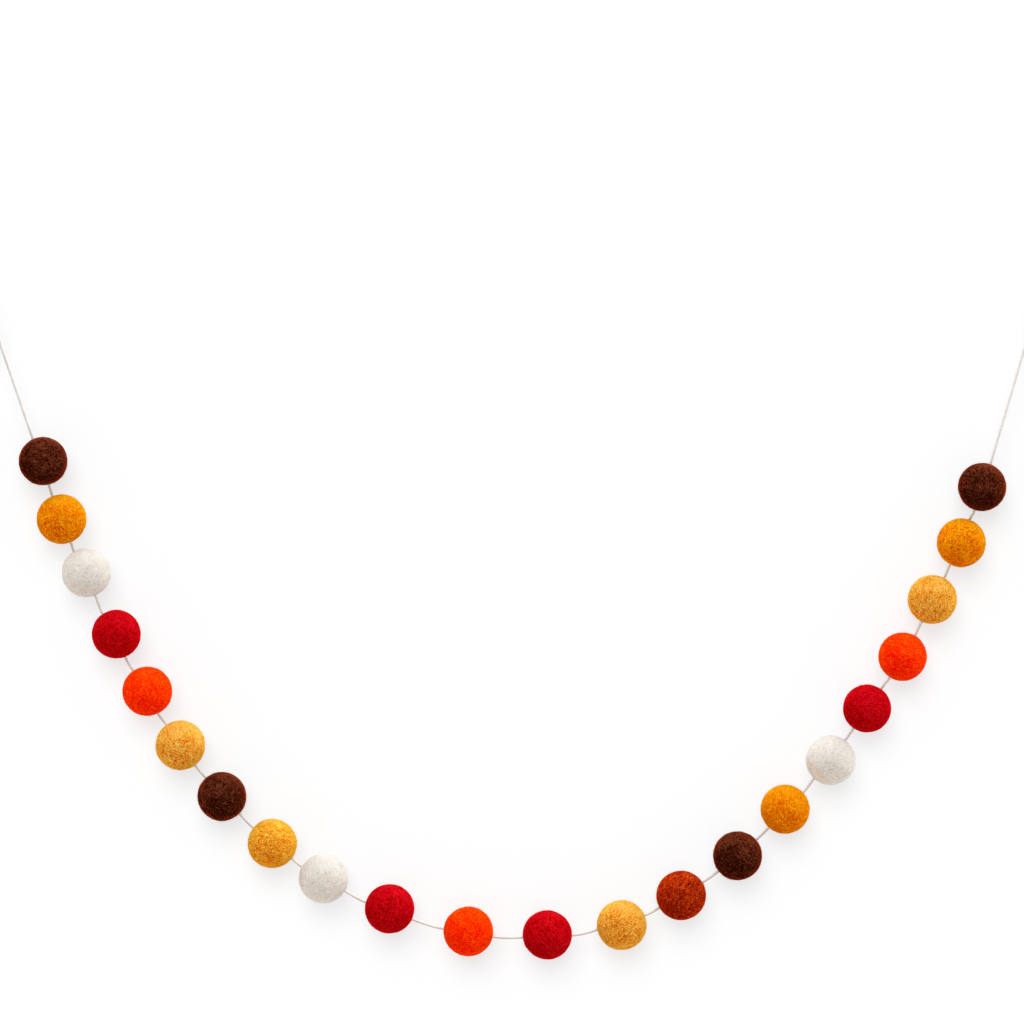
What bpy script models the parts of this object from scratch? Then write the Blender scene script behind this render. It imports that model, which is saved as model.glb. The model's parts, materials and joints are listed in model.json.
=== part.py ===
import bmesh
import bpy
from math import cos, pi, radians, sin, sqrt
from mathutils import Matrix, Vector
from mathutils.geometry import interpolate_bezier

# A felt ball garland: wool felt balls threaded on one cord that hangs from a tied loop at each end.
# +X runs from the left loop to the right one, +Z is up, and the front faces -Y.
# The origin is the inside top of the left loop, where it hangs.

MM = 0.001

CORD_DIAMETER = 1.5 * MM
CLEARANCE = 0.3 * MM
CORD_RADIUS = CORD_DIAMETER / 2

# The balls in the order they are threaded, from the left end to the right end.
#   felt      the wool's colour
#   diameter  of the ball, mm
#   gap       bare cord from this ball to the next one, mm
#   fall      slope of the line to the next ball's centre, degrees down from level
#   below     how far under the ball's centre the cord goes through it, mm
COLUMNS = ("felt", "diameter", "gap", "fall", "below")
BALLS = (
    ("brown", 24.7, 6.0, 72.5, 1.2),
    ("mustard", 25.3, 5.0, 65.0, -0.1),
    ("cream", 24.9, 10.0, 64.0, 1.0),
    ("red", 24.9, 8.0, 61.5, 1.4),
    ("orange", 25.3, 7.0, 58.5, 1.0),
    ("tan", 25.3, 8.5, 51.0, -0.3),
    ("brown", 25.0, 10.0, 43.0, -0.6),
    ("gold", 25.2, 6.5, 34.5, -0.3),
    ("cream", 25.1, 12.0, 24.5, 0.0),
    ("red", 25.2, 16.5, 16.0, 1.0),
    ("orange", 25.4, 15.0, 2.5, 0.6),
    ("red", 25.1, 13.0, -7.5, 0.7),
    ("tan", 25.4, 8.5, -26.5, -1.4),
    ("rust", 25.3, 10.0, -35.0, -0.3),
    ("brown", 25.0, 9.0, -44.5, -0.3),
    ("mustard", 25.0, 9.0, -47.0, 0.6),
    ("cream", 25.1, 7.5, -55.0, -0.8),
    ("red", 24.5, 7.5, -55.5, 0.2),
    ("orange", 24.7, 8.0, -62.5, -0.2),
    ("tan", 25.0, 7.5, -63.0, 0.3),
    ("mustard", 25.0, 5.5, -69.5, -0.8),
    ("brown", 24.6, 94.5, -72.5, 0.2),
)
# From the left loop's inside top to the first ball, in the same terms as gap and fall.
LEFT_REACH = 82.5 * MM
LEFT_FALL = 69.5

BALL_SEGMENTS = 18
BALL_RINGS = 9
BORE_SIDES = 12
BORE_EDGE_ANGLE = 40.0
BORE_OVERSHOOT = 3.0 * MM
STRAIGHT_LEAD = 0.4 * MM
GAP_POINT_SPACING = 6.0 * MM
TAIL_POINTS = 3

LOOP_HEIGHT = 20.0 * MM
LOOP_SPREAD = 7.5 * MM
LOOP_RISE = 8.0 * MM
LOOP_LEAN = 3.5 * MM
LOOP_POINTS = 8
LEG_OFFSET = 0.95 * MM

KNOT_LENGTH = 6.0 * MM
KNOT_RADIUS = 2.4 * MM
KNOT_FACE_RADIUS = 1.8 * MM
KNOT_SHOULDER = 1.4 * MM
KNOT_STEPS = 14
TAG_LENGTH = 7.0 * MM
TAG_SPLAY = 35.0
TAG_POINTS = 4

FELT_COLOURS = {
    "brown": (0.080, 0.016, 0.007),
    "mustard": (0.740, 0.240, 0.006),
    "cream": (0.740, 0.690, 0.610),
    "red": (0.460, 0.003, 0.008),
    "orange": (0.860, 0.045, 0.002),
    "tan": (0.760, 0.340, 0.042),
    "gold": (0.770, 0.310, 0.018),
    "rust": (0.350, 0.028, 0.004),
}
FELT_ROUGHNESS = 0.95
CORD_COLOUR = (0.720, 0.700, 0.680)
CORD_ROUGHNESS = 0.6


def clear_scene():
    for item in list(bpy.data.objects):
        bpy.data.objects.remove(item, do_unlink=True)


def new_collection(name):
    collection = bpy.data.collections.new(name)
    bpy.context.scene.collection.children.link(collection)
    return collection


def new_material(name, colour, roughness):
    material = bpy.data.materials.new(name)
    material.use_nodes = True
    shader = material.node_tree.nodes["Principled BSDF"]
    shader.inputs["Base Color"].default_value = (*colour, 1.0)
    shader.inputs["Roughness"].default_value = roughness
    shader.inputs["Metallic"].default_value = 0.0
    return material


def heading(fall):
    """The direction in the hanging plane that goes this many degrees down from level."""
    return Vector((cos(radians(fall)), 0.0, -sin(radians(fall))))


def underside(direction):
    """The direction across a rightward run of cord, on its lower side."""
    return Vector((direction.z, 0.0, -direction.x))


def threaded_balls():
    """Each ball's size and place, and the straight run of cord through it, from the table."""
    rows = [dict(zip(COLUMNS, values)) for values in BALLS]
    spot = Vector((0.0, 0.0, 0.0))
    reach = LEFT_REACH
    fall = LEFT_FALL
    balls = []
    for number, row in enumerate(rows, start=1):
        radius = row["diameter"] * MM / 2
        spot = spot + (reach + radius) * heading(fall)
        bore_fall = (fall + row["fall"]) / 2
        along = heading(bore_fall)
        below = row["below"] * MM
        middle = spot + below * underside(along)
        half_run = sqrt(radius**2 - below**2) + STRAIGHT_LEAD
        balls.append(
            {
                "name": f"ball_{number:02d}",
                "felt": row["felt"],
                "radius": radius,
                "centre": spot.copy(),
                "fall": bore_fall,
                "along": along,
                "middle": middle,
                "entry": middle - half_run * along,
                "exit": middle + half_run * along,
            }
        )
        reach = radius + row["gap"] * MM
        fall = row["fall"]
    right_hang = spot + reach * heading(fall)
    return balls, right_hang


def tied_end(side, outward, hang, first_bore):
    """The frame of a tied end: which way the cord pulls, and which way is out past the garland."""
    pull = (first_bore - hang).normalized()
    out = outward * Vector((-pull.z, 0.0, pull.x))
    return {"side": side, "hang": hang, "pull": pull, "out": out}


def end_point(end, distance, offset):
    """A point this far down the pull from the loop's inside top, and this far out to the side."""
    return end["hang"] + distance * end["pull"] + offset * end["out"]


def add_ball(ball, material, parts, cutters):
    """A felt ball with its poles front and back, and a straight bore where the cord goes through."""
    turned = Matrix.Rotation(pi / 2, 4, "X")
    faced = Matrix.Rotation(pi / BALL_SEGMENTS, 4, "Y")
    shape = bmesh.new()
    bmesh.ops.create_uvsphere(
        shape,
        u_segments=BALL_SEGMENTS,
        v_segments=BALL_RINGS,
        radius=ball["radius"],
        matrix=faced @ turned,
    )
    mesh = bpy.data.meshes.new(ball["name"])
    shape.to_mesh(mesh)
    shape.free()
    mesh.shade_smooth()
    mesh.set_sharp_from_angle(angle=radians(BORE_EDGE_ANGLE))
    mesh.materials.append(material)
    item = bpy.data.objects.new(ball["name"], mesh)
    item.location = ball["centre"]
    item.rotation_euler = (0.0, radians(ball["fall"]), 0.0)
    parts.objects.link(item)

    apothem = CORD_RADIUS + CLEARANCE
    drill_shape = bmesh.new()
    bmesh.ops.create_cone(
        drill_shape,
        cap_ends=True,
        segments=BORE_SIDES,
        radius1=apothem / cos(pi / BORE_SIDES),
        radius2=apothem / cos(pi / BORE_SIDES),
        depth=2 * (ball["radius"] + BORE_OVERSHOOT),
    )
    drill_mesh = bpy.data.meshes.new(f"bore_{ball['name']}")
    drill_shape.to_mesh(drill_mesh)
    drill_shape.free()
    drill = bpy.data.objects.new(drill_mesh.name, drill_mesh)
    drill.location = ball["middle"]
    drill.rotation_euler = (0.0, radians(ball["fall"] + 90.0), 0.0)
    drill.hide_render = True
    drill.display_type = "WIRE"
    cutters.objects.link(drill)

    bore = item.modifiers.new("bore", "BOOLEAN")
    bore.operation = "DIFFERENCE"
    bore.solver = "EXACT"
    bore.object = drill


def straight_points(start, finish):
    return [start.lerp(finish, step / (TAIL_POINTS - 1)) for step in range(TAIL_POINTS)]


def cord_route(balls, left, right):
    """The cord from knot to knot: straight through every ball, and one smooth bend in each gap."""
    knot_foot = LOOP_HEIGHT + KNOT_LENGTH + CLEARANCE
    start = end_point(left, knot_foot, -LEG_OFFSET)
    finish = end_point(right, knot_foot, -LEG_OFFSET)
    route = straight_points(start, balls[0]["entry"])
    for ball, following in zip(balls, balls[1:]):
        length = (following["entry"] - ball["exit"]).length
        route.extend(
            interpolate_bezier(
                ball["exit"],
                ball["exit"] + ball["along"] * length / 3,
                following["entry"] - following["along"] * length / 3,
                following["entry"],
                2 + max(1, round(length / GAP_POINT_SPACING)),
            )
        )
    route.extend(straight_points(balls[-1]["exit"], finish))
    return route


def add_tube(name, points, material, parts):
    curve = bpy.data.curves.new(name, "CURVE")
    curve.dimensions = "3D"
    curve.bevel_depth = CORD_RADIUS
    curve.bevel_resolution = 2
    curve.use_fill_caps = True
    line = curve.splines.new("POLY")
    line.points.add(len(points) - 1)
    for place, point in zip(line.points, points):
        place.co = (*point, 1.0)
    line.use_smooth = True
    curve.materials.append(material)
    parts.objects.link(bpy.data.objects.new(name, curve))


def add_loop(end, material, parts):
    """The hanging loop: two legs rise from the knot and meet over the nail or hook."""
    top = end_point(end, -CORD_RADIUS, 0.0)
    halves = []
    for way in (-1.0, 1.0):
        foot = end_point(end, LOOP_HEIGHT - CLEARANCE, way * LEG_OFFSET)
        lower = foot - LOOP_RISE * end["pull"] + way * LOOP_LEAN * end["out"]
        upper = top + way * LOOP_SPREAD * end["out"]
        halves.append(interpolate_bezier(foot, lower, upper, top, LOOP_POINTS))
    points = halves[0] + halves[1][-2::-1]
    add_tube(f"loop_{end['side']}", points, material, parts)


def add_knot(end, material, parts):
    """The outer form of an overhand knot in the doubled cord, turned about the pull of the cord."""
    half = KNOT_LENGTH / 2
    profile = (
        (0.0, half),
        (KNOT_FACE_RADIUS, half),
        (KNOT_RADIUS, half - KNOT_SHOULDER),
        (KNOT_RADIUS, KNOT_SHOULDER - half),
        (KNOT_FACE_RADIUS, -half),
        (0.0, -half),
    )
    shape = bmesh.new()
    corners = [shape.verts.new((radius, 0.0, height)) for radius, height in profile]
    for corner, following in zip(corners, corners[1:]):
        shape.edges.new((corner, following))
    mesh = bpy.data.meshes.new(f"knot_{end['side']}")
    shape.to_mesh(mesh)
    shape.free()
    mesh.materials.append(material)
    item = bpy.data.objects.new(mesh.name, mesh)
    item.location = end_point(end, LOOP_HEIGHT + half, 0.0)
    item.rotation_mode = "QUATERNION"
    item.rotation_quaternion = (-end["pull"]).to_track_quat("Z", "Y")
    parts.objects.link(item)
    turn = item.modifiers.new("turn", "SCREW")
    turn.axis = "Z"
    turn.angle = 2 * pi
    turn.steps = KNOT_STEPS
    turn.render_steps = KNOT_STEPS
    turn.use_merge_vertices = True
    turn.merge_threshold = 0.00001
    turn.use_smooth_shade = True


def add_tag(end, material, parts):
    """The cord's cut tail, which comes out of the knot beside the hanging run."""
    foot = end_point(end, LOOP_HEIGHT + KNOT_LENGTH + CLEARANCE, LEG_OFFSET)
    splayed = cos(radians(TAG_SPLAY)) * end["pull"] + sin(radians(TAG_SPLAY)) * end["out"]
    root = foot + CORD_DIAMETER * end["pull"]
    points = interpolate_bezier(
        foot,
        root,
        foot + TAG_LENGTH / 2 * splayed,
        foot + TAG_LENGTH * splayed,
        TAG_POINTS,
    )
    add_tube(f"tag_{end['side']}", points, material, parts)


def build():
    clear_scene()
    parts = new_collection("felt_ball_garland")
    cutters = new_collection("cutters")
    felts = {
        felt: new_material(f"felt_{felt}", colour, FELT_ROUGHNESS)
        for felt, colour in FELT_COLOURS.items()
    }
    cord = new_material("cord", CORD_COLOUR, CORD_ROUGHNESS)

    balls, right_hang = threaded_balls()
    for ball in balls:
        add_ball(ball, felts[ball["felt"]], parts, cutters)

    left = tied_end("left", -1.0, Vector((0.0, 0.0, 0.0)), balls[0]["entry"])
    right = tied_end("right", 1.0, right_hang, balls[-1]["exit"])
    add_tube("cord", cord_route(balls, left, right), cord, parts)
    for end in (left, right):
        add_knot(end, cord, parts)
        add_loop(end, cord, parts)
        add_tag(end, cord, parts)


build()
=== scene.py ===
import json
from math import ceil, cos, pi, radians, sin, sqrt, tau
from random import Random

import bpy
from mathutils import Matrix, Vector
from mathutils.geometry import interpolate_bezier


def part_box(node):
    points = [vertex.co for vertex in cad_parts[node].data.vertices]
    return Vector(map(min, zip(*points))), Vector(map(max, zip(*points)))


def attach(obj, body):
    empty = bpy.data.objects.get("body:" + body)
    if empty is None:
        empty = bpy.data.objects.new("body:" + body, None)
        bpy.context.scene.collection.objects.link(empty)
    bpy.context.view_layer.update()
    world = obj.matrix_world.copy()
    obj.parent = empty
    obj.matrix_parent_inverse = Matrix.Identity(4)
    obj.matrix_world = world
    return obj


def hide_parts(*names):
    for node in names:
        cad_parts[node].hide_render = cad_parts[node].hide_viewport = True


# A garland of wool felt balls on one white cord, hung from a tied loop at each end in front of a
# white wall. +X runs from the left loop to the right one, +Z is up and the front faces -Y.

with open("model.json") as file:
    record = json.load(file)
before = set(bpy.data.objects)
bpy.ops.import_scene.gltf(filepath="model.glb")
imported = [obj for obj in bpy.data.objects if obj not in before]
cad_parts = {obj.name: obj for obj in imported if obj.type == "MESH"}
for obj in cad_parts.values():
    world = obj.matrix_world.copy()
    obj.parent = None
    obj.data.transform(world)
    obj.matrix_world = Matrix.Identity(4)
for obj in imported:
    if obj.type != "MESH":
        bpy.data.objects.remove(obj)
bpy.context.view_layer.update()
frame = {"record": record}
mm = 0.001
white = (1.0, 1.0, 1.0, 1.0)


# an output socket that takes part in sums: each sum adds its own Math node
class Socket:
    def __init__(self, bench, end):
        self.bench, self.end = bench, end

    # another output of the same node
    def beside(self, output):
        return Socket(self.bench, self.end.node.outputs[output])

    def __add__(self, other):
        return self.bench.math("ADD", self, other)

    def __sub__(self, other):
        return self.bench.math("SUBTRACT", self, other)

    def __rsub__(self, other):
        return self.bench.math("SUBTRACT", other, self)

    def __mul__(self, other):
        return self.bench.math("MULTIPLY", self, other)

    __radd__, __rmul__ = __add__, __mul__


# a node tree that is being built
class Bench:
    def __init__(self, tree):
        self.tree = tree
        tree.nodes.clear()

    # one node: its settings go first, then the values or links of its sockets, and one output comes back
    def add(self, kind, settings=None, sockets=None, output=0):
        node = self.tree.nodes.new(kind)
        for name, value in (settings or {}).items():
            if name == "stops":
                ramp = node.color_ramp.elements
                while len(ramp) < len(value):
                    ramp.new(0.5)
                for stop, (place, colour) in zip(ramp, value):
                    stop.position, stop.color = place, (*colour, 1.0)
            else:
                setattr(node, name, value)
        for name, value in (sockets or {}).items():
            if isinstance(value, Socket):
                self.tree.links.new(value.end, node.inputs[name])
            else:
                node.inputs[name].default_value = value
        return Socket(self, node.outputs[output]) if node.outputs else node

    def math(self, operation, *numbers):
        return self.add("ShaderNodeMath", {"operation": operation}, dict(enumerate(numbers)))

    def vector(self, operation, *values):
        return self.add("ShaderNodeVectorMath", {"operation": operation}, dict(enumerate(values)))

    def scaled(self, value, times):
        return self.add("ShaderNodeVectorMath", {"operation": "SCALE"}, {0: value, 3: times})

    def dot(self, first, second):
        return self.add("ShaderNodeVectorMath", {"operation": "DOT_PRODUCT"}, {0: first, 1: second}, 1)

    def noise(self, place, size, detail=1.0, roughness=0.5, output=0):
        return self.add(
            "ShaderNodeTexNoise", None,
            {"Vector": place, "Scale": 1 / size, "Detail": detail, "Roughness": roughness}, output,
        )

    # a direction that changes smoothly from place to place, at most about half long
    def drift(self, place, size, detail=1.0):
        return self.vector("SUBTRACT", self.noise(place, size, detail, 0.5, 1), (0.5, 0.5, 0.5))

    # moves a place by up to about this far, smoothly, so that what is drawn there swirls
    def stirred(self, place, size, far):
        return self.vector("ADD", place, self.scaled(self.drift(place, size), 2 * far))

    def smooth(self, value, low, high):
        return self.add(
            "ShaderNodeMapRange", {"interpolation_type": "SMOOTHSTEP"},
            {"Value": value, "From Min": low, "From Max": high},
        )

    def mix(self, share, first, second):
        return self.add("ShaderNodeMix", {"data_type": "RGBA"}, {0: share, 6: first, 7: second}, 2)


def newMaterial(name):
    material = bpy.data.materials.new(name)
    material.use_nodes = True
    return material, Bench(material.node_tree)


# small steps of modelling that every piece uses
def selectOnly(*items):
    bpy.ops.object.select_all(action="DESELECT")
    for item in items:
        item.select_set(True)
    bpy.context.view_layer.objects.active = items[0]


# goes into edit mode with only the vertices near a spot selected
def editNear(piece, spot, reach):
    selectOnly(piece)
    for vertex in piece.data.vertices:
        vertex.select = (vertex.co - spot).length < reach
    bpy.ops.object.mode_set(mode="EDIT")
    bpy.ops.mesh.select_mode(type="VERT")


def applyModifiers(piece):
    selectOnly(piece)
    for modifier in list(piece.modifiers):
        bpy.ops.object.modifier_apply(modifier=modifier.name)


# a swept line comes out with its sides facing inwards and its caps on their own
def faceOutwards(piece):
    selectOnly(piece)
    bpy.ops.object.mode_set(mode="EDIT")
    bpy.ops.mesh.select_mode(type="VERT")
    bpy.ops.mesh.select_all(action="SELECT")
    bpy.ops.mesh.remove_doubles(threshold=0.001 * mm)
    bpy.ops.mesh.normals_make_consistent(inside=False)
    bpy.ops.object.mode_set(mode="OBJECT")


def wear(piece, material):
    piece.data.materials.clear()
    piece.data.materials.append(material)


def settle(piece, slot, *nodes):
    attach(piece, "root")
    if nodes:
        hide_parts(*nodes)


# the garland's plan: which felt each ball is, and how the cord runs through it
garland = {
    "firstFall": 69.5,  # slope of the cord from the left loop to ball 1, degrees down from level
    # felt, slope of the cord after the ball, and how far under the ball's middle the cord goes, mm
    "row": (
        ("brown", 72.5, 1.2), ("mustard", 65.0, -0.1), ("cream", 64.0, 1.0), ("red", 61.5, 1.4),
        ("orange", 58.5, 1.0), ("tan", 51.0, -0.3), ("brown", 43.0, -0.6), ("gold", 34.5, -0.3),
        ("cream", 24.5, 0.0), ("red", 16.0, 1.0), ("orange", 2.5, 0.6), ("red", -7.5, 0.7),
        ("tan", -26.5, -1.4), ("rust", -35.0, -0.3), ("brown", -44.5, -0.3), ("mustard", -47.0, 0.6),
        ("cream", -55.0, -0.8), ("red", -55.5, 0.2), ("orange", -62.5, -0.2), ("tan", -63.0, 0.3),
        ("mustard", -69.5, -0.8), ("brown", -72.5, 0.2),
    ),
    "lead": 0.4 * mm,  # the cord stays straight this far past a ball
}


def plannedBalls():
    planned = []
    fall = garland["firstFall"]
    for number, (felt, nextFall, below) in enumerate(garland["row"], start=1):
        node = f"ball_{number:02d}"
        low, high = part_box(node)
        slope = radians((fall + nextFall) / 2)
        along = Vector((cos(slope), 0.0, -sin(slope)))
        under = Vector((along.z, 0.0, -along.x))
        centre, radius = (low + high) / 2, (high.y - low.y) / 2
        threaded = centre + below * mm * under
        half = sqrt(radius**2 - (below * mm) ** 2) + garland["lead"]
        planned.append({
            "number": number, "node": node, "felt": felt, "centre": centre, "radius": radius, "back": high.y,
            "along": along, "entry": threaded - half * along, "exit": threaded + half * along,
        })
        fall = nextFall
    return planned


balls = plannedBalls()
mounts = {mount["name"]: Vector(mount["pos_m"]) for mount in frame["record"]["mounts"]}
middle = (mounts["hang_left"] + mounts["hang_right"]) / 2
print(f"{len(balls)} balls planned")

view = {
    "distance": 3.0,
    "width": 522.24 * mm,  # of the hanging plane, as far as the camera sees it
    "right": 0.24 * mm,  # of the middle between the two hanging points
    "down": 114.74 * mm,  # from the left hanging point
    "sensor": 36.0,
    "clipEnd": 40.0,
}


def setCamera():
    bpy.ops.object.select_all(action="DESELECT")
    bpy.ops.object.camera_add(
        location=(middle.x + view["right"], -view["distance"], mounts["hang_left"].z - view["down"]),
        rotation=(pi / 2, 0, 0),
    )
    camera = bpy.context.object
    camera.data.sensor_width = view["sensor"]
    camera.data.lens = view["sensor"] * view["distance"] / view["width"]
    camera.data.clip_end = view["clipEnd"]
    bpy.context.scene.camera = camera
    bpy.context.scene.view_settings.view_transform = "Standard"
    print("camera set")


setCamera()

room = {
    "wallGap": 1.5 * mm,  # between the balls and the wall
    "wallSize": 3.0,
    "wallDrop": 0.3,
    "floorDrop": 1.0,
    "floorSize": 16.0,
    "paint": (0.15, 0.15, 0.15),
    "wallGlow": 0.690,
    "floorGlow": 0.95,  # lights the balls from below
    "sky": (0.54, 2.80, 1.25),  # strength before, beside and behind the wall
    "skyTurns": ((-0.45, -0.1), (0.1, 0.45)),  # where one of these passes into the next, from front to back
    # strength, softness and where from: the key lights the garland, the wall light gives it its shadows
    "key": (1.54, radians(24), Vector((0.20, -0.48, 0.80))),
    "wallLight": (4.2, radians(42), Vector((-0.11, -0.85, 0.48))),
}


# paint that glows and can be seen through from behind
def litPaint(name, glow):
    material, bench = newMaterial(name)
    paint = bench.add(
        "ShaderNodeBsdfPrincipled", None,
        {"Base Color": (*room["paint"], 1.0), "Roughness": 1.0, "Specular IOR Level": 0.0,
         "Emission Color": white, "Emission Strength": glow},
    )
    fromBehind = bench.add("ShaderNodeNewGeometry", output=6)
    openBack = bench.add(
        "ShaderNodeMixShader", None, {0: fromBehind, 1: paint, 2: bench.add("ShaderNodeBsdfTransparent")}
    )
    bench.add("ShaderNodeOutputMaterial", None, {"Surface": openBack})
    return material


def setWall():
    back = max(ball["back"] for ball in balls)
    bpy.ops.mesh.primitive_plane_add(
        size=room["wallSize"], location=(middle.x, back + room["wallGap"], -room["wallDrop"]),
        rotation=(pi / 2, 0, 0),
    )
    wall = bpy.context.object
    wall.name = "wall"
    bpy.ops.mesh.primitive_plane_add(size=room["floorSize"], location=(middle.x, 0, -room["floorDrop"]))
    floor = bpy.context.object
    floor.name = "floor"
    # the wall catches shadows but holds back no light from the backs of the balls
    wall.visible_diffuse = wall.visible_glossy = wall.visible_shadow = wall.visible_transmission = False
    wear(wall, litPaint("wallPaint", room["wallGlow"]))
    wear(floor, litPaint("floorPaint", room["floorGlow"]))
    return wall, floor


# the room is brightest level with the wall and behind it, so a ball's outline is lit more than its front
def lightRoom():
    world = bpy.data.worlds.new("studio")
    world.use_nodes = True
    bench = Bench(world.node_tree)
    ahead = bench.add("ShaderNodeSeparateXYZ", None, {0: bench.add("ShaderNodeTexCoord")}, 1)
    before, beside, behind = room["sky"]
    toBeside, toBehind = (bench.smooth(ahead, *turn) for turn in room["skyTurns"])
    strength = before + (beside - before) * toBeside - (beside - behind) * toBehind
    seen = bench.add("ShaderNodeLightPath")
    sky = bench.add(
        "ShaderNodeBackground", None, {"Color": white, "Strength": seen + (1 - seen) * strength}
    )
    bench.add("ShaderNodeOutputWorld", None, {"Surface": sky})
    bpy.context.scene.world = world


def softLight(name, lights, without):
    strength, softness, place = room[name]
    bpy.ops.object.light_add(type="SUN", location=place)
    light = bpy.context.object
    light.name = name
    light.data.energy = strength
    light.data.angle = softness
    light.rotation_mode = "QUATERNION"
    light.rotation_quaternion = place.to_track_quat("Z", "Y")
    lit = bpy.data.collections.new(f"{name}Lights")
    for item in lights + without:
        lit.objects.link(item)
    for member, item in zip(lit.collection_objects, lights + without):
        member.light_linking.link_state = "INCLUDE" if item in lights else "EXCLUDE"
    light.light_linking.receiver_collection = lit


def setRoom():
    wall, floor = setWall()
    lightRoom()
    softLight("key", [], [wall, floor])
    softLight("wallLight", [wall, floor], [])
    print("wall, floor and light set")


setRoom()

# cord: the long run, a loop and a knot at each end, and the cut tails
cordLook = {
    "diameter": 1.5 * mm,
    "plies": 3,
    "plyPoints": 6,  # round each ply
    "groove": 0.20,  # depth between plies, as a share of the radius
    "grooveShape": 1.6,  # more makes the plies rounder and the groove narrower
    "lay": 4.8 * mm,  # cord length of one full turn of the plies
    "step": 0.4 * mm,
    "crease": radians(60),  # sharper edges than this stay sharp
    "loopHeight": 20.0 * mm,
    "loopSpread": 7.5 * mm,
    "loopRise": 8.0 * mm,
    "loopLean": 3.5 * mm,
    "loopPoints": 60,
    "legOffset": 0.95 * mm,
    "knotLength": 6.0 * mm,
    "knotRadius": 1.72 * mm,  # of the middle of the wraps
    "knotTurns": 3.0,
    "knotPoints": 120,
    "knotEnds": (0.10, 0.35),  # share of the wraps that dips in at each end, and of the radius it dips to
    "tucked": 2.2 * mm,  # cord hidden in the knot
    "loopTucked": 0.8,  # as a share of that
    "tagLength": 7.0 * mm,
    "tagSplay": radians(35),
    "tagPoints": 24,
    "tip": (0.8, 1.25),  # length of the frayed tip in diameters, and how much wider it is
}

cottonLook = {
    "dark": (0.44, 0.375, 0.330),
    "light": (0.74, 0.700, 0.665),
    "tones": (0.2, 0.8),  # the tones that are all dark and all light
    "fibre": 0.28 * mm,
    "stir": (1.5 * mm, 0.5 * mm),  # size of a swirl, and how far it moves the fibres
    "worn": 6.0 * mm,
    "shares": (0.7, 0.3, 0.22),  # of the fibres, the wear and the painted shade (upper side lighter, underside darker) in the tone
    # painted shade: the side of the cord facing this way is painted lighter, its underside darker
    "upper": (0.0, -0.2, 0.98),
    "bump": (0.5, 0.08 * mm),
}


def plyProfile():
    count = cordLook["plies"] * cordLook["plyPoints"]
    curve = bpy.data.curves.new("plyProfile", "CURVE")
    curve.dimensions = "2D"
    ring = curve.splines.new("POLY")
    ring.points.add(count - 1)
    ring.use_cyclic_u = True
    for index, point in enumerate(ring.points):
        turn = tau * index / count
        hollow = 1 - abs(cos(cordLook["plies"] * turn / 2))
        reach = cordLook["diameter"] / 2 * (1 - cordLook["groove"] * hollow ** cordLook["grooveShape"])
        point.co = (reach * cos(turn), reach * sin(turn), 0.0, 1.0)
    profile = bpy.data.objects.new("plyProfile", curve)
    bpy.context.collection.objects.link(profile)
    return profile


def lengthOf(points):
    return sum((after - before).length for before, after in zip(points, points[1:]))


# points at an even step along a line of close points
def evenly(points, step):
    lengths = [(after - before).length for before, after in zip(points, points[1:])]
    total = sum(lengths)
    count = max(2, round(total / step))
    spots, index, passed = [], 0, 0.0
    for number in range(count + 1):
        wanted = total * number / count
        while index < len(lengths) - 1 and passed + lengths[index] < wanted:
            passed += lengths[index]
            index += 1
        share = (wanted - passed) / lengths[index]
        spots.append(points[index].lerp(points[index + 1], min(1.0, share)))
    return spots


# the profile swept along the points, turning with the lay of its plies
def laidCord(name, points, profile, material):
    spots = evenly(points, cordLook["step"])
    curve = bpy.data.curves.new(name, "CURVE")
    curve.dimensions = "3D"
    curve.bevel_mode = "OBJECT"
    curve.bevel_object = profile
    curve.use_fill_caps = True
    line = curve.splines.new("POLY")
    line.points.add(len(spots) - 1)
    run = 0.0
    for index, (point, spot) in enumerate(zip(line.points, spots)):
        run += (spot - spots[index - 1]).length if index else 0.0
        point.co = (*spot, 1.0)
        point.tilt = tau * run / cordLook["lay"]
    cord = bpy.data.objects.new(name, curve)
    bpy.context.collection.objects.link(cord)
    selectOnly(cord)
    bpy.ops.object.convert(target="MESH")
    cord = bpy.context.object
    faceOutwards(cord)
    wear(cord, material)
    bpy.ops.object.shade_smooth_by_angle(angle=cordLook["crease"])
    return cord, spots


def cottonMaterial():
    material, bench = newMaterial("cordCotton")
    place = bench.add("ShaderNodeTexCoord", output=3)
    fibres = bench.noise(bench.stirred(place, *cottonLook["stir"]), cottonLook["fibre"], 3.0, 0.6)
    worn = bench.noise(place, cottonLook["worn"], 2.0)
    # painted light and shade on the cord: lighter on top, darker on the underside
    upper = bench.dot(place.beside("Normal"), cottonLook["upper"])
    ofFibres, ofWorn, ofPaintedShade = cottonLook["shares"]
    tone = bench.smooth(ofFibres * fibres + ofWorn * worn + ofPaintedShade * upper, *cottonLook["tones"])
    colour = bench.mix(tone, (*cottonLook["dark"], 1.0), (*cottonLook["light"], 1.0))
    strength, depth = cottonLook["bump"]
    bump = bench.add("ShaderNodeBump", None, {"Strength": strength, "Distance": depth, "Height": fibres})
    cotton = bench.add(
        "ShaderNodeBsdfPrincipled", None,
        {"Base Color": colour, "Roughness": 0.72 + 0.15 * fibres, "Normal": bump,
         "Specular IOR Level": 0.2, "Sheen Weight": 0.15, "Sheen Roughness": 0.5},
    )
    bench.add("ShaderNodeOutputMaterial", None, {"Surface": cotton})
    return material


def tiedEnd(side, outward, hang, firstHole):
    pull = (firstHole - hang).normalized()
    return {"side": side, "hang": hang, "pull": pull, "out": outward * Vector((-pull.z, 0.0, pull.x))}


# a point this far down the pull from the loop's inside top, and this far out to the side
def endPoint(end, distance, offset):
    return end["hang"] + distance * end["pull"] + offset * end["out"]


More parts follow.
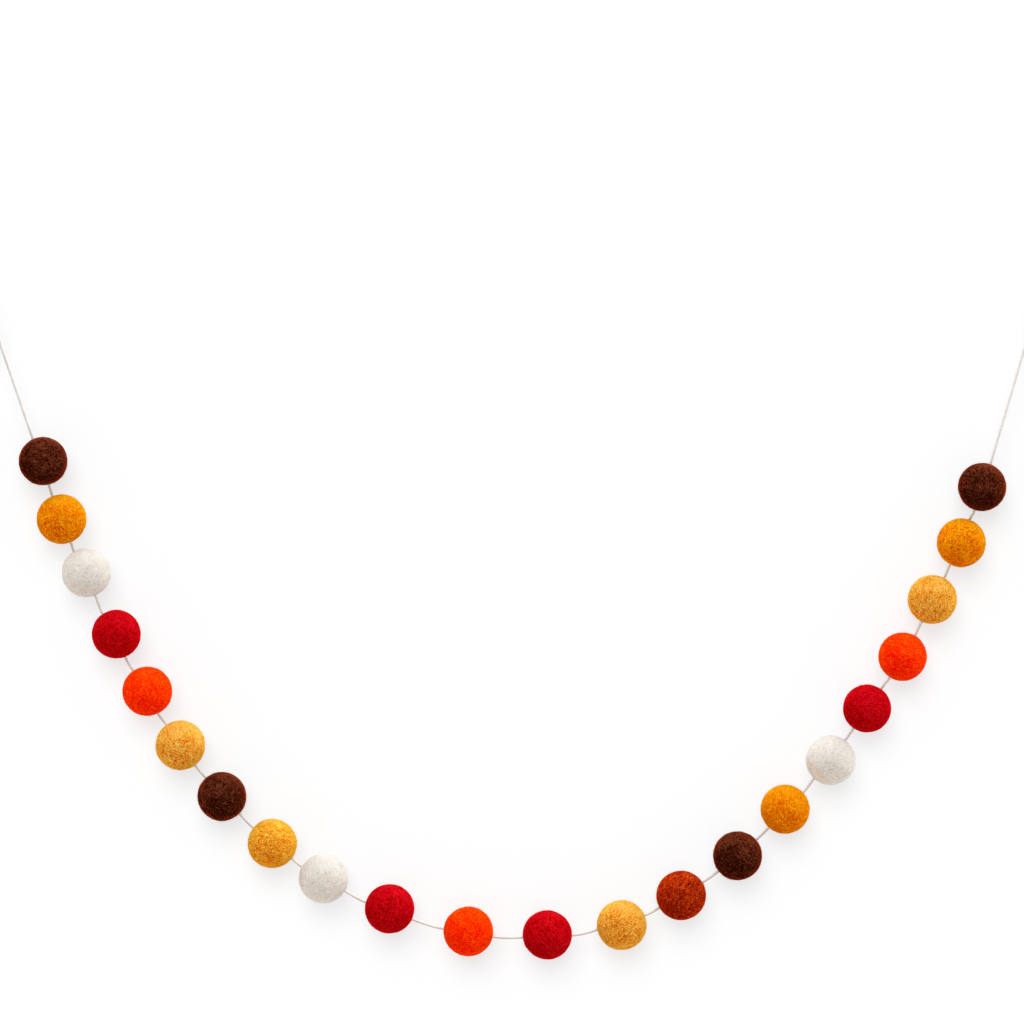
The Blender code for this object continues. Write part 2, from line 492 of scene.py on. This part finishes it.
def cordRoute(left, right):
    foot = cordLook["loopHeight"] + cordLook["knotLength"] - cordLook["tucked"]
    route = [endPoint(left, foot, -cordLook["legOffset"])]
    for ball, following in zip(balls, balls[1:]):
        span = (following["entry"] - ball["exit"]).length
        route.append(ball["entry"])
        route += interpolate_bezier(
            ball["exit"], ball["exit"] + ball["along"] * span / 3,
            following["entry"] - following["along"] * span / 3, following["entry"],
            ceil(span / cordLook["step"]) + 1,
        )[:-1]
    route += [balls[-1]["entry"], balls[-1]["exit"], endPoint(right, foot, -cordLook["legOffset"])]
    return route


# up one leg, over the top and down the other, both ends inside the knot
def loopRoute(end):
    top = endPoint(end, -cordLook["diameter"] / 2, 0.0)
    halves = []
    for way in (-1.0, 1.0):
        foot = endPoint(end, cordLook["loopHeight"], way * cordLook["legOffset"])
        tucked = foot + cordLook["tucked"] * end["pull"] * cordLook["loopTucked"]
        lower = foot - cordLook["loopRise"] * end["pull"] + way * cordLook["loopLean"] * end["out"]
        upper = top + way * cordLook["loopSpread"] * end["out"]
        halves.append([tucked] + interpolate_bezier(foot, lower, upper, top, cordLook["loopPoints"]))
    return halves[0] + halves[1][-2::-1]


# wraps of the cord round its own two legs, their ends tucked in
def knotRoute(end):
    front = Vector((0.0, -1.0, 0.0))
    height = cordLook["knotLength"] - cordLook["diameter"]
    ends, dip = cordLook["knotEnds"]
    points = []
    for index in range(cordLook["knotPoints"] + 1):
        share = index / cordLook["knotPoints"]
        turn = tau * cordLook["knotTurns"] * share
        out = min(1.0, min(share, 1 - share) / ends)
        reach = cordLook["knotRadius"] * (dip + (1 - dip) * sin(out * pi / 2))
        down = cordLook["loopHeight"] + cordLook["diameter"] / 2 + height * share
        points.append(endPoint(end, down, reach * cos(turn)) + reach * sin(turn) * front)
    return points


# from inside the knot and away to one side
def tagRoute(end):
    foot = endPoint(end, cordLook["loopHeight"] + cordLook["knotLength"], cordLook["legOffset"])
    splayed = cos(cordLook["tagSplay"]) * end["pull"] + sin(cordLook["tagSplay"]) * end["out"]
    inner = foot - cordLook["tucked"] * end["pull"]
    root = foot + cordLook["diameter"] * end["pull"]
    middling, cut = (foot + share * cordLook["tagLength"] * splayed for share in (0.5, 1.0))
    return [inner] + interpolate_bezier(foot, root, middling, cut, cordLook["tagPoints"])


# the cut end's strands spread a little
def splayTip(tag, tip):
    length, wider = cordLook["tip"]
    editNear(tag, tip, length * cordLook["diameter"])
    bpy.ops.transform.resize(value=(wider, wider, wider), center_override=tip)
    bpy.ops.object.mode_set(mode="OBJECT")


def makeCords():
    cotton = cottonMaterial()
    profile = plyProfile()
    left = tiedEnd("left", -1.0, mounts["hang_left"], balls[0]["entry"])
    right = tiedEnd("right", 1.0, mounts["hang_right"], balls[-1]["exit"])
    run, runPath = laidCord("cordRun", cordRoute(left, right), profile, cotton)
    settle(run, "cord", "cord")
    onRun = []
    for end in (left, right):
        side = end["side"].capitalize()
        knot, _ = laidCord(f"knot{side}", knotRoute(end), profile, cotton)
        settle(knot, "cord", f"knot_{end['side']}")
        tag, tagPath = laidCord(f"tag{side}", tagRoute(end), profile, cotton)
        splayTip(tag, tagPath[-1])
        settle(tag, "cord", f"tag_{end['side']}")
        onRun += [knot, tag]
        loop, loopPath = laidCord(f"loop{side}", loopRoute(end), profile, cotton)
        settle(loop, "cord", f"loop_{end['side']}")
        lengthOf(loopPath)
    lengthOf(runPath)
    bpy.data.objects.remove(profile)
    print(f"cord made, {lengthOf(runPath):.3f} m from knot to knot")


makeCords()

# felt is matted wool: pit, wool and tip are the colours of its hollows, its body and its raised fibres, the
# pit colour partly painted shade in the hollows, with depth how strongly they differ; pitted, strands and
# curl are how plainly its pits, strands and loose curls show; down is the colour of its soft edge, soft how
# wide that is, and loose the colour of its stray hairs
felts = {
    "brown": {
        "pit": (0.0130, 0.0012, 0.0003), "wool": (0.021, 0.0020, 0.0006), "tip": (0.170, 0.0380, 0.0160),
        "depth": 0.82, "pitted": 0.2, "strands": 0.22, "curl": 0.45,
        "soft": 0.17, "down": (0.95, 0.095, 0.012), "loose": (0.130, 0.024, 0.007),
    },
    "mustard": {
        "pit": (0.450, 0.0270, 0.0001), "wool": (0.680, 0.1220, 0.0001), "tip": (0.770, 0.3900, 0.0060),
        "depth": 0.85, "pitted": 0.6, "strands": 0.16, "curl": 0.35,
        "soft": 0.22, "down": (1.0, 0.560, 0.003), "loose": (0.900, 0.400, 0.010),
    },
    "cream": {
        "pit": (0.550, 0.4400, 0.3400), "wool": (0.675, 0.6280, 0.5550), "tip": (0.695, 0.6850, 0.6550),
        "depth": 0.9, "pitted": 0.8, "strands": 0.14, "curl": 0.25,
        "soft": 0.22, "down": (0.84, 0.810, 0.770), "loose": (0.780, 0.750, 0.700),
    },
    "red": {
        "pit": (0.185, 0.0001, 0.0001), "wool": (0.365, 0.0002, 0.0003), "tip": (0.600, 0.0045, 0.0130),
        "depth": 0.88, "pitted": 0.5, "strands": 0.20, "curl": 0.40,
        "soft": 0.22, "down": (1.0, 0.008, 0.014), "loose": (0.700, 0.014, 0.024),
    },
    "orange": {
        "pit": (0.660, 0.0003, 0.0001), "wool": (0.870, 0.0070, 0.0001), "tip": (0.940, 0.0950, 0.0020),
        "depth": 0.8, "pitted": 0.6, "strands": 0.18, "curl": 0.35,
        "soft": 0.20, "down": (1.0, 0.180, 0.003), "loose": (0.950, 0.080, 0.003),
    },
    "tan": {
        "pit": (0.450, 0.0700, 0.0002), "wool": (0.730, 0.2400, 0.0018), "tip": (0.790, 0.5000, 0.1100),
        "depth": 0.98, "pitted": 0.7, "strands": 0.20, "curl": 0.60,
        "soft": 0.22, "down": (1.0, 0.740, 0.060), "loose": (0.940, 0.600, 0.100),
    },
    "gold": {
        "pit": (0.470, 0.0600, 0.0001), "wool": (0.730, 0.2180, 0.0006), "tip": (0.790, 0.4900, 0.0620),
        "depth": 0.98, "pitted": 0.7, "strands": 0.20, "curl": 0.60,
        "soft": 0.22, "down": (1.0, 0.740, 0.040), "loose": (0.940, 0.580, 0.060),
    },
    "rust": {
        "pit": (0.105, 0.0008, 0.0001), "wool": (0.190, 0.0030, 0.0001), "tip": (0.580, 0.0600, 0.0060),
        "depth": 1.00, "pitted": 0.3, "strands": 0.32, "curl": 0.80,
        "soft": 0.22, "down": (1.0, 0.055, 0.002), "loose": (0.620, 0.055, 0.008),
    },
}

# how every felt is matted; a size is that of one swirl, fibre or pit on the ball
matting = {
    "swirl": (4.5 * mm, 1.2 * mm),  # size, and how far it stirs the fibres
    "fibre": (0.44 * mm, 3.2 * mm),  # across and along
    "fibreEdge": 5.0,  # how steeply a fibre stands out from its neighbours
    "strand": (1.15 * mm, 6.0 * mm),  # across and along, for the few that lie on top
    "strandWidth": 0.06,
    "bundles": (7.0 * mm, 0.42, 0.58),  # size, and the levels where the fibres change their way
    "grain": (0.30 * mm, 0.85 * mm),
    "pits": (0.44 * mm, 0.47, 0.62),  # size, and the levels where one opens and is deepest
    "pitStir": (1.5 * mm, 0.5 * mm),
    "patches": 8.0 * mm,
    "hairs": (8.0 * mm, 3.0, 0.06),  # size, how many levels, and how thick
    "hairStir": (7.0 * mm, 3.0 * mm),
    "hairShift": (0.3, 0.3, 0.3),  # far enough that the hairs don't follow the other swirls
    "hairPatches": (5.0 * mm, 0.42, 0.55),  # size, and the levels where there are none and all
    "paintedLight": (0.30, -0.20, 0.93),  # where the painted light comes from: that side of each ball is painted lighter and its texture fainter, the far side darker
    # what each gives to the tone, which is 0 in a pit and 1 at a tip
    "evenTone": 0.42,
    # painted light and shade: how much lighter the tone is on the side facing the painted light, and darker
    # below
    "ofPaintedLight": 0.30,
    "ofFibres": 0.80,
    "ofGrain": 3.2,
    "ofPatches": 0.40,
    "unevenness": (0.80, 0.35),  # level with the ball's middle, and how much less where the painted light falls, so the texture shows stronger in the painted shade below
    "heights": (0.5, 0.5, 0.6, 0.5),  # of the fibres, the strands, the grain and the hairs in the relief
    "relief": 0.15 * mm,
}


def feltMaterial(name, look):
    material, bench = newMaterial(f"felt{name.capitalize()}")
    place = bench.add("ShaderNodeTexCoord", output=3)
    rolled = bench.add("ShaderNodeAttribute", {"attribute_name": "wound"}, None, 1)
    size, far = matting["swirl"]
    swirled = bench.vector("ADD", rolled, bench.scaled(bench.drift(place, size), 2 * far))
    parts = bench.add("ShaderNodeSeparateXYZ", None, {0: bench.vector("NORMALIZE", swirled)})
    axes = [parts.beside(index) for index in range(3)]
    radius = balls[0]["radius"]

    # fibres are wound round one axis of the ball, so they run in rings about it
    def wound(around, across, along, detail=0.0):
        ring = bench.math("ARCCOSINE", axes[around]) * (radius / across)
        rest = [axes[index] * (radius / along) for index in range(3) if index != around]
        apart = 3.7 * around  # so that two windings don't repeat each other
        laid = bench.add("ShaderNodeCombineXYZ", None, {0: ring, 1: rest[0], 2: rest[1] + apart})
        return bench.noise(laid, 1.0, detail) - 0.5

    size, ends, begins = matting["bundles"]
    bundles = bench.smooth(bench.noise(place, size, 1.0), ends, begins)

    # those of one bundle lie across those of the next
    def bundled(across, along, detail=0.0):
        return wound(2, across, along, detail) * bundles + wound(0, across, along, detail) * (1 - bundles)

    fibres = 1 - matting["fibreEdge"] * bench.math("ABSOLUTE", bundled(*matting["fibre"]))
    fromStrand = bench.math("ABSOLUTE", bundled(*matting["strand"]))
    strands = 1 - bench.smooth(fromStrand, 0.0, matting["strandWidth"])
    grain = bundled(*matting["grain"], 2.0)
    size, opens, deepest = matting["pits"]
    pits = bench.smooth(bench.noise(bench.stirred(place, *matting["pitStir"]), size, 1.0), opens, deepest)
    patches = bench.noise(place, matting["patches"], 1.0)

    # stray hairs follow the level lines of a stirred noise, in some places only
    size, levels, thick = matting["hairs"]
    strayed = bench.stirred(bench.vector("ADD", place, matting["hairShift"]), *matting["hairStir"])
    level = 2 * bench.math("PINGPONG", bench.noise(strayed, size, 0.0) * levels, 0.5)
    size, none, full = matting["hairPatches"]
    hairs = (1 - bench.smooth(level, 0.0, thick)) * bench.smooth(bench.noise(place, size, 0.0), none, full)

    # fibres, pits, patches and strands count from about their own means, so the felt keeps its colour
    # painted light and shade: facing the painted light the tone is lighter and the texture fainter, facing
    # away it is darker and the texture stronger
    paintedLight = bench.dot(place.beside("Normal"), matting["paintedLight"])
    atMiddle, lessInPaintedLight = matting["unevenness"]
    uneven = look["depth"] * (atMiddle - lessInPaintedLight * paintedLight)
    # pits lower the tone: darker wool in the hollows, and partly painted shade there
    matted = (
        matting["ofFibres"] * (fibres - 0.50) + matting["ofGrain"] * grain - look["pitted"] * (pits - 0.40)
    )
    tone = (
        matting["evenTone"] + matting["ofPaintedLight"] * paintedLight + uneven * matted
        + matting["ofPatches"] * (patches - 0.5) + look["strands"] * (strands - 0.25) + look["curl"] * hairs
    )
    stops = ((0.0, look["pit"]), (0.5, look["wool"]), (1.0, look["tip"]))
    colour = bench.add("ShaderNodeValToRGB", {"stops": stops}, {0: tone})
    ofFibres, ofStrands, ofGrain, ofHairs = matting["heights"]
    height = (
        ofFibres * fibres + ofStrands * strands + ofGrain * grain - look["pitted"] * pits + ofHairs * hairs
    )
    bump = bench.add(
        "ShaderNodeBump", None, {"Strength": 1.0, "Distance": matting["relief"], "Height": height}
    )
    wool = bench.add(
        "ShaderNodeBsdfPrincipled", None,
        {"Base Color": colour, "Roughness": 0.95 + 0.10 * grain, "Normal": bump, "Specular IOR Level": 0.0,
         "Sheen Weight": 1.0, "Sheen Roughness": look["soft"], "Sheen Tint": (*look["down"], 1.0)},
    )
    bench.add("ShaderNodeOutputMaterial", None, {"Surface": wool})
    return material


def fuzzMaterial(name, look):
    material, bench = newMaterial(f"fuzz{name.capitalize()}")
    hair = bench.add(
        "ShaderNodeBsdfPrincipled", None,
        {"Base Color": (*look["loose"], 1.0), "Roughness": 0.9, "Specular IOR Level": 0.0,
         "Sheen Weight": 0.2, "Sheen Roughness": 0.5, "Sheen Tint": (*look["down"], 1.0)},
    )
    bench.add("ShaderNodeOutputMaterial", None, {"Surface": hair})
    return material


# balls are rolled by hand, so a little uneven, and drawn in where the cord goes through
ballLook = {
    "cuts": 6,
    "lumps": ("CLOUDS", "SOFT_NOISE", 8.5 * mm, 0.40 * mm),  # kind, hardness, size and height
    "folds": ("CLOUDS", "HARD_NOISE", 1.4 * mm, 0.05 * mm),
    "holeRadius": 0.9 * mm,
    "dimpleReach": 2.9 * mm,
    "dimpleDepth": 0.9 * mm,
    "axis": (0.35, -0.75, 0.55),  # the fibres' rings run about here, give or take the spread
    "axisSpread": 0.45,
}


def reliefTextures():
    textures = {}
    for name in ("lumps", "folds"):
        kind, hardness, size, _ = ballLook[name]
        texture = textures[name] = bpy.data.textures.new(name, kind)
        texture.noise_type = hardness
        texture.noise_scale = size
        texture.noise_depth = 2
    return textures


# the lumps and then the folds push the felt in and out
def addRelief(ball, textures):
    for name, texture in textures.items():
        relief = ball.modifiers.new(name, "DISPLACE")
        relief.texture = texture
        relief.texture_coords = "LOCAL"
        relief.strength = ballLook[name][-1]
        relief.mid_level = 0.5
    applyModifiers(ball)


# pulls the felt in round the hole, towards the middle of the ball
def drawIn(ball, hole, inward):
    editNear(ball, hole, ballLook["holeRadius"])
    bpy.ops.transform.translate(
        value=ballLook["dimpleDepth"] * inward, use_proportional_edit=True,
        proportional_edit_falloff="SMOOTH", proportional_size=ballLook["dimpleReach"],
    )
    bpy.ops.object.mode_set(mode="OBJECT")


# gives each ball its own axis for the fibres, kept as the place on the ball turned to that axis
def windFibres(ball, plan):
    chance = Random(plan["number"])
    axis = Vector([value + chance.uniform(-1, 1) * ballLook["axisSpread"] for value in ballLook["axis"]])
    turn = axis.to_track_quat("Z", "Y").to_matrix() @ Matrix.Rotation(chance.uniform(0, tau), 3, "Z")
    wound = ball.data.attributes.new("wound", "FLOAT_VECTOR", "POINT")
    for vertex, spot in zip(ball.data.vertices, wound.data):
        spot.vector = turn.transposed() @ (vertex.co - plan["centre"])


def rollBall(plan, textures, material):
    bpy.ops.object.select_all(action="DESELECT")
    bpy.ops.mesh.primitive_ico_sphere_add(
        subdivisions=ballLook["cuts"], radius=plan["radius"], location=plan["centre"]
    )
    ball = bpy.context.object
    ball.name = f"feltBall{plan['number']:02d}"
    bpy.ops.object.transform_apply(location=True, rotation=False, scale=False)
    drawIn(ball, plan["entry"], plan["along"])
    drawIn(ball, plan["exit"], -plan["along"])
    addRelief(ball, textures)
    bpy.ops.object.shade_smooth()
    windFibres(ball, plan)
    wear(ball, material)
    settle(ball, f"felt_{plan['felt']}", plan["node"])
    return ball


# fuzz: loose hairs, some lying on the felt and some standing off it
fuzzLook = {
    "lying": {
        "count": 9, "length": 12.0 * mm, "points": 19, "thick": 0.11 * mm,
        "wander": 3.2 * mm, "swirl": 6.0 * mm, "rise": 0.12 * mm,
    },
    "standing": {
        "count": 400, "length": 2.2 * mm, "points": 5, "thick": 0.030 * mm,
        "wander": 0.9 * mm, "swirl": 9.0 * mm, "rise": 0.75 * mm,
    },
    "strewnOn": 4 * pi * (12.5 * mm) ** 2,  # the surface of a ball, for the counts above
    "sizes": (0.5, 1.5),  # shortest and longest, as shares of the length
    "foot": 0.02 * mm,  # how far off the felt a hair starts
    "taper": 0.6,
}


# straight hairs strewn on the ball, each turned its own way
def strewnHairs(bench, ball, seed, sown, hair):
    spots = bench.add(
        "GeometryNodeDistributePointsOnFaces", None,
        {"Mesh": ball, "Density": hair["count"] / fuzzLook["strewnOn"], "Seed": sown},
    )
    line = bench.add(
        "GeometryNodeCurvePrimitiveLine", None, {"Start": (0, 0, 0), "End": (hair["length"], 0, 0)}
    )
    strand = bench.add(
        "GeometryNodeResampleCurve", {"mode": "COUNT"}, {"Curve": line, "Count": hair["points"]}
    )
    anyTurn = bench.add("FunctionNodeRandomValue", {"data_type": "FLOAT"}, {2: 0.0, 3: tau, "Seed": seed}, 1)
    spin = bench.add("FunctionNodeAxisAngleToRotation", None, {"Axis": (0, 0, 1), "Angle": anyTurn})
    facing = bench.add(
        "FunctionNodeRotateRotation", {"rotation_space": "LOCAL"},
        {"Rotation": spots.beside("Rotation"), "Rotate By": spin},
    )
    short, long = fuzzLook["sizes"]
    size = bench.add(
        "FunctionNodeRandomValue", {"data_type": "FLOAT"}, {2: short, 3: long, "Seed": seed + 7}, 1
    )
    strands = bench.add(
        "GeometryNodeInstanceOnPoints", None,
        {"Points": spots, "Instance": strand, "Rotation": facing, "Scale": size},
    )
    return bench.add("GeometryNodeRealizeInstances", None, {"Geometry": strands})


# lets the hairs wander, lays them back on the felt, lifts their tips and gives them their thickness
def laidHairs(bench, ball, centre, loose, hair):
    share = bench.add("GeometryNodeSplineParameter")
    place = bench.add("GeometryNodeInputPosition")
    swirl = bench.drift(place, hair["swirl"], 0.0)
    wandered = bench.vector("ADD", place, bench.scaled(swirl, share * (2 * hair["wander"])))
    onFelt = bench.add("GeometryNodeProximity", {"target_element": "FACES"}, {0: ball, 2: wandered})
    outward = bench.vector("NORMALIZE", bench.vector("SUBTRACT", wandered, centre))
    lift = fuzzLook["foot"] + share * share * hair["rise"]
    lifted = bench.vector("ADD", onFelt, bench.scaled(outward, lift))
    hugging = bench.add("GeometryNodeSetPosition", None, {"Geometry": loose, "Position": lifted})
    ring = bench.add("GeometryNodeCurvePrimitiveCircle", {"mode": "RADIUS"}, {"Resolution": 3, "Radius": 1.0})
    thick = hair["thick"] * (1 - fuzzLook["taper"] * share)
    return bench.add(
        "GeometryNodeCurveToMesh", None,
        {"Curve": hugging, "Profile Curve": ring, "Scale": thick, "Fill Caps": True},
    )


def fuzzNodes():
    tree = bpy.data.node_groups.new("looseHairs", "GeometryNodeTree")
    ends = (
        ("Ball", "INPUT", "NodeSocketGeometry"), ("Middle", "INPUT", "NodeSocketVector"),
        ("Seed", "INPUT", "NodeSocketInt"), ("Hairs", "OUTPUT", "NodeSocketGeometry"),
    )
    for name, way, kind in ends:
        tree.interface.new_socket(name, in_out=way, socket_type=kind)
    bench = Bench(tree)
    ball = bench.add("NodeGroupInput")
    centre, seed = ball.beside("Middle"), ball.beside("Seed")
    joined = bench.add("GeometryNodeJoinGeometry")
    # each kind of hair is sown from a seed of its own
    for index, hair in enumerate((fuzzLook["lying"], fuzzLook["standing"])):
        loose = strewnHairs(bench, ball, seed, seed + 50 * index, hair)
        solid = laidHairs(bench, ball, centre, loose, hair)
        tree.links.new(solid.end, joined.end.node.inputs[0])
    bench.add("NodeGroupOutput", None, {0: joined})
    return tree


# the hairs grow on a copy of the ball, without its tags, and are all that is left of it
def growFuzz(ball, plan, nodes, material):
    fuzz = ball.copy()
    fuzz.data = ball.data.copy()
    for tag in [name for name in fuzz.keys() if name.startswith("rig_")]:
        del fuzz[tag]
    fuzz.name = f"fuzz{plan['number']:02d}"
    bpy.context.collection.objects.link(fuzz)
    hairs = fuzz.modifiers.new("hairs", "NODES")
    hairs.node_group = nodes
    ends = nodes.interface.items_tree
    hairs[ends["Middle"].identifier] = list(plan["centre"])
    hairs[ends["Seed"].identifier] = plan["number"]
    applyModifiers(fuzz)
    wear(fuzz, material)
    settle(fuzz, f"felt_{plan['felt']}")


def makeBalls():
    wools = {name: (feltMaterial(name, look), fuzzMaterial(name, look)) for name, look in felts.items()}
    print(f"{len(wools)} felts mixed")
    textures = reliefTextures()
    nodes = fuzzNodes()
    for plan in balls:
        felt, hair = wools[plan["felt"]]
        ball = rollBall(plan, textures, felt)
        growFuzz(ball, plan, nodes, hair)
    print(f"{len(balls)} balls rolled")


makeBalls()
